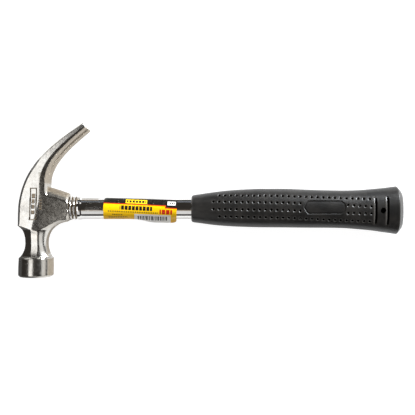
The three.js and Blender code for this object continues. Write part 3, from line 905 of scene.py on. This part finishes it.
TILT = math.radians(2.8)
FLAP_START = 10.7
FLAP_LENGTH = 7.6
LABEL_TOP = -10.2
LABEL_BOTTOM = FLAP_START + FLAP_LENGTH - 0.7
LABEL_CORNER = 2.2
FLAP_SWEEP = 4.6
FILM_THICKNESS = 0.16
FILM_GAP = 0.12


def film_point(along, down, out):
    """A point of the film, from millimetres along it and down round it from the top line."""
    x = LABEL_X + along * math.cos(TILT) - down * math.sin(TILT)
    arc_length = down * math.cos(TILT) + along * math.sin(TILT)
    radius = TUBE_RADIUS + FILM_GAP
    turned = min(arc_length, FLAP_START) / radius
    y, z = -radius * math.sin(turned), radius * math.cos(turned)
    over = arc_length - FLAP_START
    if over > 0:
        lift = float(smoothstep(20, 44, along))
        steps = 12
        for i in range(steps):
            turned += (over / steps) * (1 - lift) / radius
            y -= math.cos(turned) * over / steps
            z -= math.sin(turned) * over / steps
    return x, y - out * math.sin(turned), z + out * math.cos(turned)


def make_label():
    top, bottom = LABEL_TOP, LABEL_BOTTOM
    first = [top, top + 0.15, top + 0.4, top + 0.8, top + 1.3]
    last = [bottom - 1.8, bottom - 1.3, bottom - 0.8, bottom - 0.4, bottom - 0.15, bottom]
    downs = np.concatenate([first, np.arange(top + 1.8, bottom - 1.9, 0.5), last])
    columns = 80
    radius = LABEL_CORNER
    points, print_mm = [], []
    for out in (FILM_THICKNESS, 0.0):
        for down in downs:
            near = min(down - top, bottom - down)
            inset = radius - math.sqrt(radius ** 2 - (radius - min(near, radius)) ** 2)
            sweep = FLAP_SWEEP - math.sqrt(FLAP_SWEEP ** 2 - max(0, down - bottom + FLAP_SWEEP) ** 2 * 0.999)
            for i in range(columns + 1):
                along = inset + (LABEL_LENGTH - inset - max(inset, sweep)) * i / columns
                points.append(film_point(along, down, out))
                print_mm.append((along, down, 0))
    rows, width = len(downs), columns + 1
    faces = []
    for r in range(rows - 1):
        for i in range(columns):
            a = r * width + i
            faces.append((a, a + width, a + width + 1, a + 1))
            b = a + rows * width
            faces.append((b, b + 1, b + width + 1, b + width))
    border = [r * width for r in range(rows)] + [(rows - 1) * width + i for i in range(1, width)]
    border += [r * width + columns for r in range(rows - 2, -1, -1)] + [i for i in range(columns - 1, 0, -1)]
    for a, b in zip(border, border[1:] + border[:1]):
        faces.append((b, a, a + rows * width, b + rows * width))
    made = make_object("wrap_label", points, faces)
    outwards(made)
    mark_sharp(made, 50)
    add_attribute(made, "print_mm", print_mm, "FLOAT_VECTOR")
    return made


# ---- Assembly ----

def stand_for(made, node, look):
    made.data.materials.clear()
    made.data.materials.append(look)
    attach(made, "root")
    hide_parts(node)


stand_for(make_head(), "head", steel_look())
stand_for(make_tube(), "shaft_tube", chrome_look())
stand_for(make_plug(), "expansion_plug", plug_look())
stand_for(make_grip(), "grip", rubber_look())
stand_for(make_label(), "label", label_look())


# ---- Floor, light and camera ----

FLOOR_RADIUS = 3.2
FLOOR_DARK_X = -0.19
FLOOR_LIT_X = -0.12
FLOOR_DARK = 0.06
FLOOR_LIT = 0.65


def make_floor():
    """A pale floor, darker in reflections to the left of the head, and white to the camera."""
    count = 96
    turn = [2 * math.pi * i / count for i in range(count)]
    ring = [(FLOOR_RADIUS * math.cos(a), FLOOR_RADIUS * math.sin(a), 0) for a in turn]
    mesh = bpy.data.meshes.new("floor")
    mesh.from_pydata(ring, [], [tuple(range(count))])
    made = bpy.data.objects.new("floor", mesh)
    bpy.context.collection.objects.link(made)
    look = Look("pale_floor")
    parts = look.node("ShaderNodeSeparateXYZ", {"Vector": look.place})
    beyond = look.math("MAXIMUM", look.math("SUBTRACT", parts.outputs[1], 0.025), 0)
    along = look.math("ADD", parts.outputs[0], look.math("MULTIPLY", beyond, 1.5))
    seen = look.node("ShaderNodeLightPath").outputs["Is Camera Ray"]
    bright = look.math("MAXIMUM", look.ramp(along, FLOOR_DARK_X, FLOOR_LIT_X, FLOOR_DARK, FLOOR_LIT), seen)
    colour = look.mix(bright, (0, 0, 0, 1), look.mix(seen, (0.8, 0.8, 0.8, 1), (0.2, 0.2, 0.2, 1)))
    glow = look.math("ADD", look.math("MULTIPLY", bright, 0.7), look.math("MULTIPLY", seen, 0.25))
    look.finish(Base_Color=colour, Roughness=0.9, Specular_IOR_Level=0.1)
    look.finish(Emission_Color=(1, 1, 1, 1), Emission_Strength=glow)
    mesh.materials.append(look.material)


def softbox(name, place, aim, width, height, power, colour=(1, 1, 1), glossy=True):
    data = bpy.data.lights.new(name, "AREA")
    data.shape = "RECTANGLE"
    data.size, data.size_y = width, height
    data.energy = power
    data.color = colour
    made = bpy.data.objects.new(name, data)
    made.location = place
    direction = Vector(aim) - Vector(place)
    made.rotation_euler = direction.to_track_quat("-Z", "Y").to_euler()
    made.visible_camera = False
    made.visible_glossy = glossy
    bpy.context.collection.objects.link(made)


make_floor()
HEAD_SPOT = (-0.148, -0.005, 0.02)
softbox("overhead_left", (-0.58, -0.24, 1.0), (-0.58, -0.24, 0), 0.52, 0.82, 2.0)
softbox("low_front", (-0.36, -0.90, 0.74), (-0.36, 0, 0), 0.78, 0.78, 1.4)
softbox("upper_front", (-0.36, -0.60, 1.12), (-0.36, 0, 0), 0.78, 0.24, 0.16, (1, 0.84, 0.68))
softbox("right_side", (1.25, 0.0, 0.75), HEAD_SPOT, 2.2, 0.8, 5.0)
softbox("window", (0.9, 0.75, 0.6), (0.05, 0, 0), 0.45, 0.45, 34.0, (0.90, 0.95, 1))
softbox("grip_light", (0.40, 0.9, 0.75), (0.15, 0, 0), 0.7, 0.35, 0.8)
softbox("ring_light", (-0.45, 0.75, 0.72), (-0.12, 0, 0), 0.24, 0.12, 0.3)
softbox("upper_left", (-0.9, 0.9, 0.35), (-0.13, 0.03, 0), 0.9, 0.5, 2.2)
softbox("far_strip", (-0.1, 1.17, 0.57), (-0.1, 0, 0), 1.0, 0.16, 0.2, (0.75, 0.85, 1))
softbox("fill", (0.35, 0.95, 1.0), (0, 0, 0), 1.5, 1.2, 17.0, (1, 0.97, 0.93), glossy=False)

# The room is dim in reflections and white behind the object.
ROOM_DIM = (0.036, 0.032, 0.028, 1)

world = bpy.data.worlds.new("studio")
bpy.context.scene.world = world
world.use_nodes = True
nodes, links = world.node_tree.nodes, world.node_tree.links
dim = nodes["Background"]
dim.inputs["Color"].default_value = ROOM_DIM
seen = nodes.new("ShaderNodeBackground")
seen.inputs["Color"].default_value = (1, 1, 1, 1)
path = nodes.new("ShaderNodeLightPath")
choose = nodes.new("ShaderNodeMixShader")
links.new(path.outputs["Is Camera Ray"], choose.inputs[0])
links.new(dim.outputs[0], choose.inputs[1])
links.new(seen.outputs[0], choose.inputs[2])
links.new(choose.outputs[0], nodes["World Output"].inputs["Surface"])

LENS = 57.2
CAMERA_PLACE = (-0.00225, -0.0060, 0.582)

camera_data = bpy.data.cameras.new("camera")
camera_data.sensor_width = 36
camera_data.lens = LENS
camera = bpy.data.objects.new("camera", camera_data)
camera.location = CAMERA_PLACE
bpy.context.collection.objects.link(camera)
bpy.context.scene.camera = camera
bpy.context.scene.view_settings.view_transform = "Standard"
